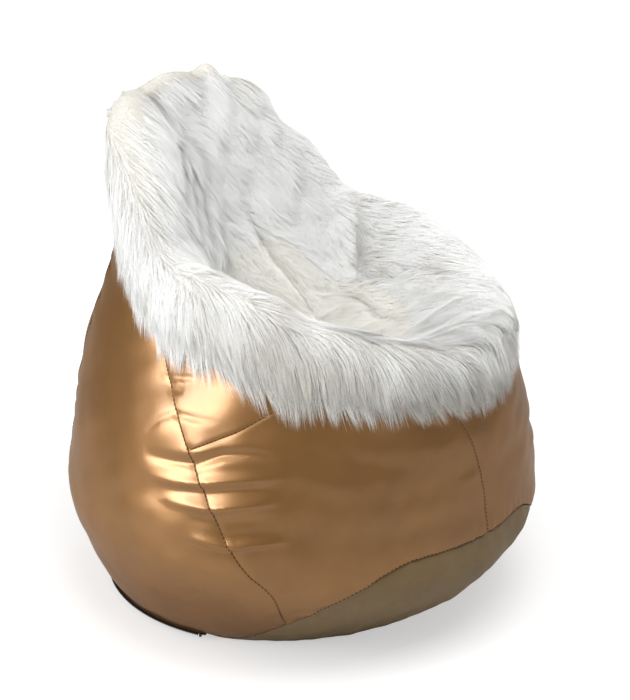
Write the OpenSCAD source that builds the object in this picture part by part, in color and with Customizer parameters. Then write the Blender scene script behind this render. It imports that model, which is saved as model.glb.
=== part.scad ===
// Bean bag chair: a pear-shaped cover of shiny imitation leather with a long-pile
// fur seat, back and rim, a tough round base with a zip behind it, and an inner
// bag of beads. Millimetres. The front is -Y, up is +Z, and the floor is z = 0.
// Angles run from the front (0) round past the right side (90, which is +X).

/* [Body] */
// radius of the belly at the sides and back
belly_r = 416; // [390:1:440]
// radius of the belly at the front
belly_front_r = 412; // [390:1:430]
// height of the widest part at the front
belly_front_z = 188; // [170:1:210]
// height of the widest part at the sides and back
belly_rear_z = 222; // [200:1:240]
// radius of the flat patch that stands on the floor
floor_r = 276; // [262:1:286]
// how far behind the belly's centre that patch sits
floor_shift = 68; // [50:1:76]
// how far to the left of the belly's centre it sits
floor_side = 8; // [0:1:12]

/* [Rim] */
// height of the rim under the fur, at the front
rim_front_z = 546; // [520:1:570]
// height of the rim under the fur, at the arms
rim_side_z = 636; // [610:1:660]
// height of the rim under the fur, at the back
rim_back_z = 856; // [800:1:880]
// half length of the seat opening, front to back
rim_r = 352; // [330:1:365]
// half width of the seat opening
rim_side_r = 246; // [230:1:270]
// angle by which the slumped back leans to the left
lean = 11; // [4:1:14]
// how far the waist below the fur is drawn in at the back
waist = 52; // [30:1:60]

/* [Seat] */
// height of the lowest point of the seat under the fur
seat_z = 478; // [450:1:500]
// how far in front of the middle that point is
seat_forward = 15; // [0:1:40]

/* [Cloth] */
// thickness of the leather and base cloth
cover_t = 2; // [1.5:0.1:2.5]
// thickness of the fur on the rim
pile_rim = 22; // [15:1:26]
// thickness of the fur in the seat
pile_seat = 12; // [8:1:18]
// gap between sewn panels, either side of a seam
seam_gap = 1; // [0.8:0.1:1.5]
// gap under a seam that runs round the body
round_gap = 3; // [2.5:0.1:4]
// depth of the inner bag's cloth inside the cover
liner_in = 11; // [10:0.5:12]
// thickness of the inner bag's cloth
liner_t = 1.2; // [0.8:0.1:1.5]
// depth of the beads inside the cover
fill_in = 20; // [18:0.5:24]

/* [Zip] */
// height of the teeth above the floor
zip_z = 11; // [10:0.5:13]
// angle at which the closed slider stands
zip_from = 98; // [96:1:104]
// angle that the teeth cover
zip_sweep = 194; // [170:1:196]

/* [Hidden] */
// panels that bend as they go round the body
steps = 48;
// where along the profile each ring lies: 0 floor, 1 belly, 2 rim, 3 seat centre
fur_edge = 1.69;
seat_edge = 2.6;
base_edge = 0.15;
// front, side and back values of the profile's handles
floor_bulge = [30, 42, 42];
belly_under = [90, 45, 45];
belly_over = [130, 70, 70];
rim_roll = [34, 62, 24];
rim_inner = [60, 60, 45];
seat_round = [190, 150, 130];
// the zip's own arc
zip_shift = floor_shift * (1 - ease(base_edge));
zip_side = -floor_side * (1 - ease(base_edge));
zip_r = low_r(180, 0.19) + 0.9;
tape_t = 0.8;
tape_h = 4.4;
tape_slot = 0.4;
rail_w = 2;
rail_h = 1.3;
bead_w = 4.4;
bead_h = 1.8;
play = 0.4;
slider_len = 11;
slider_w = 8;
slider_top = 4.9;
lug_r = 7.7;
lug_w = 6.6;
eye_r = 2.2;
pin_r = 0.8;
eye_bore = 1.15;
pull_len = 22;

gold = [0.62, 0.43, 0.24];
olive = [0.42, 0.37, 0.26];
white = [0.95, 0.95, 0.92];
cream = [0.9, 0.89, 0.82];
brown = [0.16, 0.1, 0.06];
brass = [0.7, 0.55, 0.3];
grey = [0.75, 0.75, 0.74];

// ---- shape of the body ----

// smooth step from 0 to 1
function ease(t) = t * t * (3 - 2 * t);
// straight blend
function lerp(a, b, t) = a + (b - a) * t;
// cubic curve through a and d, with handles b and c
function curve(a, b, c, d, t) =
  a * pow(1 - t, 3) + 3 * b * t * pow(1 - t, 2) + 3 * c * t * t * (1 - t) + d * t * t * t;
// value round the body from its front, side and back values
function around(v, phi) = let (c = cos(phi)) v[1] + ((c > 0 ? v[0] : v[2]) - v[1]) * c * c;
// height of the rim: a broad back that drops quickly to the arms
function rim_z(phi) =
  let (c = cos(phi - lean))
  c > 0 ? rim_side_z + (rim_front_z - rim_side_z) * c * c
        : rim_side_z + (rim_back_z - rim_side_z) * (1 - pow(1 - pow(c, 4), 3));
function rim_radius(phi) = around([rim_r + 10, rim_side_r, rim_r - 22], phi);
function belly_radius(phi) = around([belly_front_r, belly_r, belly_r], phi);
function belly_z(phi) = around([belly_front_z, belly_rear_z, belly_rear_z], phi);

function low_r(phi, t) =
  curve(floor_r, floor_r + around(floor_bulge, phi), belly_radius(phi), belly_radius(phi), t);
function low_z(phi, t) = curve(0, 0, belly_z(phi) - around(belly_under, phi), belly_z(phi), t);
function low(phi, t) =
  let (r = low_r(phi, t))
  [r * sin(phi) - floor_side * (1 - ease(t)), floor_shift * (1 - ease(t)) - r * cos(phi), low_z(phi, t)];
function high(phi, t) =
  let (b = belly_radius(phi), z = belly_z(phi), e = rim_radius(phi), h = rim_z(phi))
  let (drawn = around([0, 4, waist], phi) * exp(-pow((t - 0.6) / 0.15, 2)) * (1 - pow(t, 6)))
  let (r = curve(b, b, e + around(rim_roll, phi), e, t) - drawn)
  [r * sin(phi), -r * cos(phi), curve(z, z + around(belly_over, phi), h, h, t)];
function seat(phi, t) =
  let (e = rim_radius(phi), h = rim_z(phi))
  let (r = curve(e, e - around(rim_inner, phi), around(seat_round, phi), 0, t))
  [r * sin(phi), -seat_forward * ease(t) - r * cos(phi), curve(h, h, seat_z, seat_z, t)];
function on_skin(phi, u) = u < 1 ? low(phi, u) : u < 2 ? high(phi, u - 1) : seat(phi, u - 2);

// point of the body at angle phi and profile place u, raised by d off the surface
function skin(phi, u, d) =
  u > 2.999 ? [0, -seat_forward, seat_z + d] :
  let (p = on_skin(phi, u))
  let (side = on_skin(phi + 1, u) - on_skin(phi - 1, u))
  let (rise = on_skin(phi, min(u + 0.01, 2.999)) - on_skin(phi, max(u - 0.01, 0)))
  let (n = cross(side, rise))
  p + d * n / norm(n);

// the seam that joins the base to the wall, low behind and high in front
function base_seam(phi) = base_edge + 0.94 * ease(min(max((cos(phi) - 0.47) * 2, 0), 1));
// the seam under the fur, which climbs to the top behind the back
function fur_seam(phi) =
  let (c = cos(phi))
  c > 0 ? fur_edge + 0.02 * (1 - c)
        : fur_edge + 0.02 + 0.08 * min(-c / 0.7, 1) + 0.14 * ease(min(max((-c - 0.6) * 4, 0), 1));
// a step of w millimetres, as an angle or as a change along the profile
function turn(w) = w / 400 * 180 / PI;
function climb(w) = w / 380;

// side seams as an angle, from the base seam (t = 0) to the fur seam (t = 1)
fork = 0.81;
// angle that the gusset's lower seam runs round the body
gusset_sweep = 45;
// angle by which the foot of the side seam swings forwards
side_seam_toe = 4;
function side_seam(t) = 49 + 46 * t * t * t - side_seam_toe * pow(1 - t, 5);
function gusset_seam(t) = side_seam(fork) - gusset_sweep * (t - fork) / (1 - fork);
function front_seam(t) = 4 - 14 * t * t;
back_seam = 134;
function left_of_front(t) = t > fork ? -gusset_seam(t) : -side_seam(t);
function right_of_front(t) = -left_of_front(t);

// ---- closed shells from grids of points ----

function flat(rows) = [for (r = rows) each r];
function quad(a, b, c, d) = [[a, d, c], [a, c, b]];
function wall_faces(nr, nc, wrap, at, turned) =
  [for (i = [0:nr - 2], j = [0:nc - (wrap ? 1 : 2)])
    let (k = (j + 1) % nc)
    let (a = at + i * nc + j, b = at + i * nc + k, c = b + nc, d = a + nc)
    each (turned ? quad(a, d, c, b) : quad(a, b, c, d))];
// strip that joins a line of points to the same line of the other grid
function strip(line, shift) =
  [for (j = [0:len(line) - 2])
    each [[line[j], line[j + 1], line[j + 1] + shift], [line[j], line[j + 1] + shift, line[j] + shift]]];

// sewn panel: rows run upwards, columns run round the body
module patch(outer, inner) {
  nr = len(outer);
  nc = len(outer[0]);
  n = nr * nc;
  low_line = [for (j = [0:nc - 1]) j];
  top_line = [for (j = [nc - 1:-1:0]) (nr - 1) * nc + j];
  left_line = [for (i = [nr - 1:-1:0]) i * nc];
  right_line = [for (i = [0:nr - 1]) i * nc + nc - 1];
  polyhedron(concat(flat(outer), flat(inner)),
    concat(wall_faces(nr, nc, false, 0, false), wall_faces(nr, nc, false, n, true),
           strip(low_line, n), strip(right_line, n), strip(top_line, n), strip(left_line, n)));
}

// shell closed by a point at its top
module dome(outer, inner, top_outer, top_inner) {
  nr = len(outer);
  nc = len(outer[0]);
  n = nr * nc;
  last = (nr - 1) * nc;
  ring = [for (j = [0:nc]) j % nc];
  polyhedron(concat(flat(outer), flat(inner), [top_outer, top_inner]),
    concat(wall_faces(nr, nc, true, 0, false), wall_faces(nr, nc, true, n, true),
           [for (j = [0:nc - 1]) [last + (j + 1) % nc, last + j, 2 * n]],
           [for (j = [0:nc - 1]) [n + last + j, n + last + (j + 1) % nc, 2 * n + 1]],
           strip(ring, n)));
}

// shell closed by a point at its bottom
module bowl(outer, inner, low_outer, low_inner) {
  nr = len(outer);
  nc = len(outer[0]);
  n = nr * nc;
  last = (nr - 1) * nc;
  ring = [for (j = [nc:-1:0]) last + j % nc];
  polyhedron(concat(flat(outer), flat(inner), [low_outer, low_inner]),
    concat(wall_faces(nr, nc, true, 0, false), wall_faces(nr, nc, true, n, true),
           [for (j = [0:nc - 1]) [j, (j + 1) % nc, 2 * n]],
           [for (j = [0:nc - 1]) [n + (j + 1) % nc, n + j, 2 * n + 1]],
           strip(ring, n)));
}

// solid closed by a point at each end
module blob(rows, low_point, top_point) {
  nr = len(rows);
  nc = len(rows[0]);
  n = nr * nc;
  last = (nr - 1) * nc;
  polyhedron(concat(flat(rows), [low_point, top_point]),
    concat(wall_faces(nr, nc, true, 0, false),
           [for (j = [0:nc - 1]) [j, (j + 1) % nc, n]],
           [for (j = [0:nc - 1]) [last + (j + 1) % nc, last + j, n + 1]]));
}

// ---- cover ----

// leather panel between two side seams, given as lists of angles, one for each row
module wall_panel(ts, left, right, cols) {
  rows = len(ts);
  grid = function (d)
    [for (i = [0:rows - 1])
      [for (j = [0:cols])
        let (phi = lerp(left[i] + turn(seam_gap), right[i] - turn(seam_gap), j / cols))
        let (u = lerp(base_seam(phi) + climb(seam_gap), fur_seam(phi) - climb(round_gap), ts[i]))
        skin(phi, u, d)]];
  patch(grid(0), grid(-cover_t));
}

wall_ts = [for (i = [0:13]) fork * i / 13, for (i = [1:5]) lerp(fork, 1, pow(i / 5, 1.5))];
gusset_ts = [for (i = [0:5]) lerp(fork + 0.008, 1, pow(i / 5, 1.5))];

module front_left_panel() {
  color(gold) wall_panel(wall_ts, [for (t = wall_ts) left_of_front(t)], [for (t = wall_ts) front_seam(t)], 8);
}
module front_right_panel() {
  color(gold)
    wall_panel(wall_ts, [for (t = wall_ts) front_seam(t)],
      [for (t = wall_ts) right_of_front(t)], 9);
}
module left_gusset() {
  color(gold)
    wall_panel(gusset_ts, [for (t = gusset_ts) -side_seam(t)],
      [for (t = gusset_ts) -gusset_seam(t)], 8);
}
module right_gusset() {
  color(gold)
    wall_panel(gusset_ts, [for (t = gusset_ts) gusset_seam(t)],
      [for (t = gusset_ts) side_seam(t)], 8);
}
module left_side_panel() {
  color(gold) wall_panel(wall_ts, [for (t = wall_ts) -back_seam], [for (t = wall_ts) -side_seam(t)], 9);
}
module right_side_panel() {
  color(gold) wall_panel(wall_ts, [for (t = wall_ts) side_seam(t)], [for (t = wall_ts) back_seam], 9);
}
module back_panel() {
  color(gold) wall_panel(wall_ts, [for (t = wall_ts) back_seam], [for (t = wall_ts) 360 - back_seam], 12);
}

// round base: a flat disc that stands on the floor, and a flank that climbs in front
module base_panel() {
  angles = [for (j = [0:steps - 1]) 360 * j / steps];
  inset = 6;
  rows = [for (k = [0:9]) k / 9];
  foot = function (d)
    [for (a = angles)
      [(floor_r - inset) * sin(a) - floor_side, floor_shift - (floor_r - inset) * cos(a), -d]];
  grid = function (d)
    concat([foot(d)],
      [for (k = rows) [for (a = angles) skin(a, lerp(0, base_seam(a) - climb(round_gap), k), d)]]);
  color(olive) union() {
    bowl(grid(0), grid(-cover_t), [-floor_side, floor_shift, 0], [-floor_side, floor_shift, cover_t]);
    translate([-floor_side, floor_shift, 0]) cylinder(r = floor_r - 2 * inset, h = cover_t, $fn = 4 * steps);
  }
}

// ---- fur ----

// thickness of the pile at a place on the profile
function pile(phi, u) =
  let (e = fur_seam(phi))
  u < e + 0.12 ? lerp(5, pile_rim, ease((u - e) / 0.12)) :
  u < 2.3 ? pile_rim : lerp(pile_rim, pile_seat, ease(min((u - 2.3) / 0.4, 1)));

module fur_panel(from, to, cols) {
  under = 5;
  rows = 15;
  place = function (phi, i)
    i < under ? lerp(fur_seam(phi) + climb(seam_gap), 2, i / under)
              : lerp(2, seat_edge - climb(seam_gap), pow((i - under) / (rows - under), 1.3));
  angle = function (j) lerp(from + turn(seam_gap), to - turn(seam_gap), j / cols);
  outer = [for (i = [0:rows]) [for (j = [0:cols])
    skin(angle(j), place(angle(j), i), pile(angle(j), place(angle(j), i)))]];
  inner = [for (i = [0:rows]) [for (j = [0:cols]) skin(angle(j), place(angle(j), i), -cover_t)]];
  color(white) patch(outer, inner);
}

fur_front_seam = 62;
fur_back_seam = 116;
module fur_front_roll() {
  fur_panel(-fur_front_seam, fur_front_seam, 14);
}
module fur_left_arm() {
  fur_panel(-fur_back_seam, -fur_front_seam, 7);
}
module fur_right_arm() {
  fur_panel(fur_front_seam, fur_back_seam, 7);
}
module fur_back() {
  fur_panel(fur_back_seam, 360 - fur_back_seam, 16);
}
module fur_seat() {
  angles = [for (j = [0:steps / 2 - 1]) 720 * j / steps];
  places = [for (k = [0:3]) lerp(seat_edge + climb(seam_gap), 2.9, k / 3)];
  outer = [for (u = places) [for (a = angles) skin(a, u, pile(a, u))]];
  inner = [for (u = places) [for (a = angles) skin(a, u, -cover_t)]];
  color(cream) dome(outer, inner, skin(0, 3, pile_seat), skin(0, 3, -cover_t));
}

// ---- zip ----

// arc of the given section, from one angle through a sweep, round the zip's own centre
module zip_arc(from, sweep) {
  translate([zip_side, zip_shift, 0])
    rotate([0, 0, from - 90])
      rotate_extrude(angle = sweep, $fn = 360)
        translate([zip_r, zip_z])
          children();
}
module band(r0, r1, z0, z1) {
  translate([r0, z0]) square([r1 - r0, z1 - z0]);
}

// lower tape, with the edge that turns in under the base seam
module zip_tape_lower() {
  turned = 6;
  color(brown) zip_arc(zip_from - 3, zip_sweep + 4) {
    union() {
      band(-tape_t, 0, -tape_h, -tape_slot);
      band(-turned, 0, -tape_h - tape_t, -tape_h);
    }
  }
}
module zip_tape_upper() {
  color(brown) zip_arc(zip_from - 3, zip_sweep + 4) band(-tape_t, 0, tape_slot, tape_h);
}
// closed teeth: a bead on a narrow stem, which the slider wraps
module zip_teeth() {
  color(brass) zip_arc(zip_from - 1.2, zip_sweep) {
    union() {
      band(0.02, rail_h, -rail_w / 2, rail_w / 2);
      band(rail_h - 0.01, rail_h + bead_h, -bead_w / 2, bead_w / 2);
    }
  }
}
// metal stop at each end of the teeth
module zip_stops() {
  color(brass) {
    zip_arc(zip_from - 2.2, 0.7) band(0.02, rail_h + bead_h + 1, -3, 3);
    zip_arc(zip_from + zip_sweep - 0.9, 0.7) band(0.02, rail_h + bead_h + 1, -3, 3);
  }
}
// slider: a channel that wraps the bead, with two ears and a pin for the pull
module zip_slider() {
  half = asin(slider_len / 2 / zip_r);
  color(brass) {
    zip_arc(zip_from + 1 - half, 2 * half) {
      difference() {
        band(play, slider_top, -slider_w / 2, slider_w / 2);
        band(rail_h - play, rail_h + bead_h + play, -bead_w / 2 - play, bead_w / 2 + play);
        band(-1, rail_h, -rail_w / 2 - play, rail_w / 2 + play);
      }
    }
    at_lug() {
      for (side = [-1, 1])
        translate([-2, -lug_r + slider_top - 0.5, side * (lug_w / 2 - 0.6) - 0.6])
          cube([4, lug_r - slider_top + 2.2, 1.2]);
      translate([0, 0, -lug_w / 2 + 0.3]) cylinder(r = pin_r, h = lug_w - 0.6, $fn = 48);
    }
  }
}
// frame at the slider's pin: X along the zip, Y outwards, Z up
module at_lug() {
  translate([zip_side, zip_shift, zip_z])
    rotate([0, 0, zip_from + 1 - 180])
      translate([0, zip_r + lug_r, 0])
        children();
}
// pull: an eye round the slider's pin and a flat tab with a slot
module zip_pull() {
  eye_h = 3.4;
  tab_t = 1.4;
  tab_h = 5.6;
  color(brass) at_lug() {
    difference() {
      union() {
        translate([0, 0, -eye_h / 2]) cylinder(r = eye_r, h = eye_h, $fn = 64);
        translate([0, -tab_t / 2, -eye_h / 2]) cube([pull_len / 2, tab_t, eye_h]);
        translate([pull_len / 3, -tab_t / 2, -tab_h / 2]) cube([pull_len * 2 / 3, tab_t, tab_h]);
      }
      translate([0, 0, -eye_h]) cylinder(r = eye_bore, h = 2 * eye_h, $fn = 64);
      translate([pull_len * 0.55, -tab_t, -tab_h / 5]) cube([pull_len * 0.3, 2 * tab_t, tab_h * 2 / 5]);
    }
  }
}

// ---- inner bag and beads ----

liner_split = 0.3;
ring_angles = [for (j = [0:steps - 1]) 360 * j / steps];
module liner_wall() {
  us = [for (k = [0:3]) lerp(liner_split, 0.9, k / 3), for (k = [0:10]) lerp(1.05, 1.95, k / 10),
        for (k = [0:6]) lerp(2.05, 2.92, k / 6)];
  outer = [for (u = us) [for (a = ring_angles) skin(a, u, -liner_in)]];
  inner = [for (u = us) [for (a = ring_angles) skin(a, u, -liner_in - liner_t)]];
  color(grey) dome(outer, inner, skin(0, 3, -liner_in), skin(0, 3, -liner_in - liner_t));
}
module liner_base() {
  us = [for (k = [0:3]) lerp(0, liner_split - climb(2 * seam_gap), k / 3)];
  outer = [for (u = us) [for (a = ring_angles) skin(a, u, -liner_in)]];
  inner = [for (u = us) [for (a = ring_angles) skin(a, u, -liner_in - liner_t)]];
  color(grey)
    bowl(outer, inner, [-floor_side, floor_shift, liner_in],
      [-floor_side, floor_shift, liner_in + liner_t]);
}
// touch-and-close strips that shut the inner bag, low on its back
module liner_strip(u_from) {
  half = 18;
  cols = 8;
  rows = 3;
  width = 0.055;
  grid = function (d)
    [for (i = [0:rows]) [for (j = [0:cols])
      skin(180 + lerp(-half, half, j / cols), lerp(u_from, u_from + width, i / rows), d)]];
  color(cream) patch(grid(-liner_in + 1.2), grid(-liner_in + 0.3));
}
module liner_hook_strip() {
  liner_strip(0.86);
}
module liner_loop_strip() {
  liner_strip(0.79);
}
module bead_fill() {
  us = [for (k = [0:4]) lerp(0, 0.9, k / 4), for (k = [0:9]) lerp(1.05, 1.95, k / 9),
        for (k = [0:6]) lerp(2.05, 2.9, k / 6)];
  rows = [for (u = us) [for (a = ring_angles) skin(a, u, -fill_in)]];
  color(white) blob(rows, [-floor_side, floor_shift, fill_in], skin(0, 3, -fill_in));
}

base_panel();
front_left_panel();
front_right_panel();
left_gusset();
right_gusset();
left_side_panel();
right_side_panel();
back_panel();
fur_front_roll();
fur_left_arm();
fur_right_arm();
fur_back();
fur_seat();
zip_tape_lower();
zip_tape_upper();
zip_teeth();
zip_stops();
zip_slider();
zip_pull();
liner_wall();
liner_base();
liner_hook_strip();
liner_loop_strip();
bead_fill();
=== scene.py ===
"""Bean bag chair: imitation-leather body, fur seat and rim, zipped base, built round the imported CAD."""

import math
from types import SimpleNamespace

import bpy
import numpy as np
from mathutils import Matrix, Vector, kdtree


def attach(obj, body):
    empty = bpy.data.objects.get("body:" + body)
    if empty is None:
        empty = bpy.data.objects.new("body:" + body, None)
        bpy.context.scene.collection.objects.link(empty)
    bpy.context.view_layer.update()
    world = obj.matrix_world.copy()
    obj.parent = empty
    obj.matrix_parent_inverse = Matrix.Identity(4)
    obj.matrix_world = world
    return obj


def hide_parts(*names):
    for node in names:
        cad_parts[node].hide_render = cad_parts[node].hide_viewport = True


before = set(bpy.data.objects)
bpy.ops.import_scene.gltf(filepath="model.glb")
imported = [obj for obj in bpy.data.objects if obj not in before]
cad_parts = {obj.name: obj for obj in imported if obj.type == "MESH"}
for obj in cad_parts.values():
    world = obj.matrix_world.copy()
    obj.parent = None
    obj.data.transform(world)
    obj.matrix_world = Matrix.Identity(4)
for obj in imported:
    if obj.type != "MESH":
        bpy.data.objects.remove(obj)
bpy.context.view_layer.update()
BAG = "bag"

# ---- shape of the body, in metres and degrees, as the CAD has it: front, side and back values ----

BELLY_R = (0.412, 0.416, 0.416)
BELLY_Z = (0.188, 0.222, 0.222)
RIM_R = (0.362, 0.246, 0.330)
RIM_Z = (0.546, 0.636, 0.856)
FLOOR_R = 0.276
FLOOR_CENTRE = (-0.008, 0.068)
LEAN = 11.0
WAIST = (0.0, 0.004, 0.052)
SEAT_Z = 0.478
SEAT_FORWARD = 0.015
FLOOR_BULGE = (0.030, 0.042, 0.042)
BELLY_UNDER = (0.090, 0.045, 0.045)
BELLY_OVER = (0.130, 0.070, 0.070)
RIM_ROLL = (0.034, 0.062, 0.024)
RIM_INNER = (0.060, 0.060, 0.045)
SEAT_ROUND = (0.190, 0.150, 0.130)
BASE_EDGE = 0.15
FUR_EDGE = 1.69
SEAT_EDGE = 2.6
FORK = 0.81
GUSSET_SWEEP = 45.0
SIDE_SEAM_TOE = 4.0
TONGUE_RISE = 0.94
TONGUE_EDGE = 0.47
SIDE_SEAM_FOOT = 49.0
SIDE_SEAM_SWEEP = 46.0
FRONT_SEAM_FOOT = 4.0
FRONT_SEAM_SWEEP = 14.0
BACK_SEAM = 134.0
SEAT_MIDDLE = 2.985
LAST_U = 2.998
FUR_FRONT_SEAM = 62.0
FUR_BACK_SEAM = 116.0


def cosine(phi):
    return np.cos(np.radians(phi))


def ease(t):
    t = np.clip(t, 0, 1)
    return t * t * (3 - 2 * t)


def lerp(a, b, t):
    return a + (b - a) * t


def curve(a, b, c, d, t):
    """Cubic curve through a and d, with handles b and c."""
    return a * (1 - t) ** 3 + 3 * b * t * (1 - t) ** 2 + 3 * c * t * t * (1 - t) + d * t**3


def around(values, phi):
    c = cosine(phi)
    return values[1] + (np.where(c > 0, values[0], values[2]) - values[1]) * c * c


def rim_z(phi):
    c = cosine(phi - LEAN)
    front = RIM_Z[1] + (RIM_Z[0] - RIM_Z[1]) * c * c
    back = RIM_Z[1] + (RIM_Z[2] - RIM_Z[1]) * (1 - (1 - c**4) ** 3)
    return np.where(c > 0, front, back)


def on_skin(phi, u):
    """Point of the body at angle phi, where 0 is the front, and at place u of its profile.

    u is 0 at the floor, 1 at the belly, 2 at the rim and 3 at the seat's centre."""
    phi, u = np.broadcast_arrays(np.asarray(phi, float), np.asarray(u, float))
    belly, belly_h = around(BELLY_R, phi), around(BELLY_Z, phi)
    rim, rim_h = around(RIM_R, phi), rim_z(phi)
    t = np.clip(u, 0, 1)
    low_r = curve(FLOOR_R, FLOOR_R + around(FLOOR_BULGE, phi), belly, belly, t)
    low_z = curve(0, 0, belly_h - around(BELLY_UNDER, phi), belly_h, t)
    slide = 1 - ease(t)
    t = np.clip(u - 1, 0, 1)
    drawn = around(WAIST, phi) * np.exp(-(((t - 0.6) / 0.15) ** 2)) * (1 - t**6)
    high_r = curve(belly, belly, rim + around(RIM_ROLL, phi), rim, t) - drawn
    high_z = curve(belly_h, belly_h + around(BELLY_OVER, phi), rim_h, rim_h, t)
    t = np.clip(u - 2, 0, 1)
    seat_r = curve(rim, rim - around(RIM_INNER, phi), around(SEAT_ROUND, phi), 0, t)
    seat_z = curve(rim_h, rim_h, SEAT_Z, SEAT_Z, t)
    r = np.where(u < 1, low_r, np.where(u < 2, high_r, seat_r))
    z = np.where(u < 1, low_z, np.where(u < 2, high_z, seat_z))
    x = np.where(u < 1, FLOOR_CENTRE[0] * slide, 0)
    y = np.where(u < 1, FLOOR_CENTRE[1] * slide, np.where(u < 2, 0, -SEAT_FORWARD * ease(t)))
    a = np.radians(phi)
    return np.stack([x + r * np.sin(a), y - r * np.cos(a), z], -1)


def unit(v):
    """Vectors at a length of 1."""
    return v / np.maximum(np.linalg.norm(v, axis=-1, keepdims=True), 1e-12)


def axes(surface, phi, u, step=0.6):
    """Unit directions round the body, up the profile and outwards; surface is a function of phi and u."""
    side = unit(surface(phi + step, u) - surface(phi - step, u))
    rise = surface(phi, np.minimum(u + step / 60, LAST_U)) - surface(phi, np.maximum(u - step / 60, 0))
    out = unit(np.cross(side, rise))
    return side, unit(np.cross(out, side)), out


def skin(phi, u, depth=0.0):
    """The body's surface, raised by depth."""
    return on_skin(phi, u) + np.asarray(depth)[..., None] * axes(on_skin, phi, u)[2]


def base_seam(phi):
    return BASE_EDGE + TONGUE_RISE * ease((cosine(phi) - TONGUE_EDGE) * 2)


def fur_seam(phi):
    c = cosine(phi)
    behind = FUR_EDGE + 0.02 + 0.08 * np.clip(-c / 0.7, 0, 1) + 0.14 * ease((-c - 0.6) * 4)
    return np.where(c > 0, FUR_EDGE + 0.02 * (1 - c), behind)


def side_seam(t):
    return SIDE_SEAM_FOOT + SIDE_SEAM_SWEEP * t**3 - SIDE_SEAM_TOE * (1 - t) ** 5


def gusset_seam(t):
    return side_seam(FORK) - GUSSET_SWEEP * np.maximum(t - FORK, 0) / (1 - FORK)


def front_of_side(t):
    """The front panels' own side edge, which leaves the side seam at the fork."""
    return np.where(t > FORK, gusset_seam(t), side_seam(t))


def front_seam(t):
    return FRONT_SEAM_FOOT - FRONT_SEAM_SWEEP * t**2


def back_seam(t):
    return BACK_SEAM + 0 * t


def waves(points, length, seed, count=8):
    """Smooth random field of about -1 to 1 over the points, with bumps of that length."""
    draw = np.random.default_rng(seed)
    total = np.zeros(points.shape[:-1])
    for _ in range(count):
        heading = unit(draw.normal(size=3))
        pace = 2 * math.pi / (length * draw.uniform(0.7, 1.5))
        total += np.sin(points @ heading * pace + draw.uniform(0, 2 * math.pi))
    return total / math.sqrt(count)


def crease(points, line, width, height, below=None):
    """Height of a ridge (or of a valley, below 0) along a line of (phi, u) places, fading at its ends.

    A smaller width below the line makes a fold that swells downwards and then tucks under."""
    line = np.array(line, float)
    steps = 60
    runs = [lerp(a, b, np.arange(steps)[:, None] / steps) for a, b in zip(line[:-1], line[1:])]
    samples = on_skin(*np.concatenate(runs + [line[-1:]]).T)
    run = np.append(0, np.cumsum(np.linalg.norm(np.diff(samples, axis=0), axis=1)))
    even = np.linspace(0, run[-1], max(int(run[-1] / (0.4 * min(width, below or width))), 2) + 1)
    samples = np.stack([np.interp(even, run, samples[:, k]) for k in range(3)], -1)
    fade = np.sin(math.pi * (np.arange(len(samples)) + 1.5) / (len(samples) + 2)) ** 0.7
    best = np.zeros(points.shape[:-1])
    for s, f in zip(samples, fade):
        reach = width if below is None else np.where(points[..., 2] > s[2], width, below)
        best = np.maximum(best, f * np.exp(-((points - s) ** 2).sum(-1) / reach**2))
    return height * best


def creases(points, listed):
    return sum(crease(points, *one) for one in listed)


# ---- camera and light ----

CAMERA_AZIMUTH = -44.53
CAMERA_ELEVATION = 22.55
CAMERA_DISTANCE = 3.4
CAMERA_LENS_MM = 99.68
AIM = Vector((0, 0, 0.430))
AIM_RIGHT = 0.0218
AIM_UP = 0.0111
AMBIENT = 0.34
FLOOR_DROP = -0.0015
FLOOR_REACH = 9.0
FLOOR_GLOW = (0.50, 1.0)
FLOOR_GLOW_AT = (0.70, 1.7)
# name, azimuth, elevation, distance, width, height as a share of the width, power
LIGHTS = [
    ("key", -104, 40, 2.8, 1.5, 1.0, 14.5),
    ("low", -108, 12, 2.8, 1.5, 0.5, 38),
    ("fill", -20, 25, 3.4, 2.6, 1.0, 3),
    ("top", -12, 70, 2.8, 2.2, 1.0, 72),
]


def direction(azimuth, elevation):
    a, e = math.radians(azimuth), math.radians(elevation)
    return Vector((math.sin(a) * math.cos(e), -math.cos(a) * math.cos(e), math.sin(e)))


def make_camera():
    back = direction(CAMERA_AZIMUTH, CAMERA_ELEVATION)
    right = direction(CAMERA_AZIMUTH + 90, 0)
    up = back.cross(right)
    aim = AIM + right * AIM_RIGHT + up * AIM_UP
    camera = bpy.data.objects.new("camera", bpy.data.cameras.new("camera"))
    camera.data.lens = CAMERA_LENS_MM
    camera.location = aim + back * CAMERA_DISTANCE
    camera.rotation_euler = (-back).to_track_quat("-Z", "Y").to_euler()
    bpy.context.scene.collection.objects.link(camera)
    bpy.context.scene.camera = camera


def add_light(name, azimuth, elevation, distance, size, tall, power):
    """White soft box that faces the middle of the chair; tall is its height as a share of its width."""
    lamp = bpy.data.lights.new(name, "AREA")
    lamp.shape = "RECTANGLE"
    lamp.size = size
    lamp.size_y = size * tall
    lamp.energy = power
    light = bpy.data.objects.new(name, lamp)
    towards = direction(azimuth, elevation)
    light.location = AIM + towards * distance
    light.rotation_euler = (-towards).to_track_quat("-Z", "Y").to_euler()
    bpy.context.scene.collection.objects.link(light)


def make_studio():
    scene = bpy.context.scene
    scene.view_settings.view_transform = "Standard"
    world = bpy.data.worlds.new("studio")
    world.use_nodes = True
    tree = world.node_tree
    sky = tree.nodes["Background"]
    seen = add_node(tree, "ShaderNodeLightPath").outputs["Is Camera Ray"]
    strength = remap(tree, seen, 0, 1, AMBIENT, 1.0)
    tree.links.new(strength, sky.inputs["Strength"])
    sky.inputs["Color"].default_value = (1, 1, 1, 1)
    scene.world = world
    for light in LIGHTS:
        add_light(*light)
    make_floor()


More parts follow.
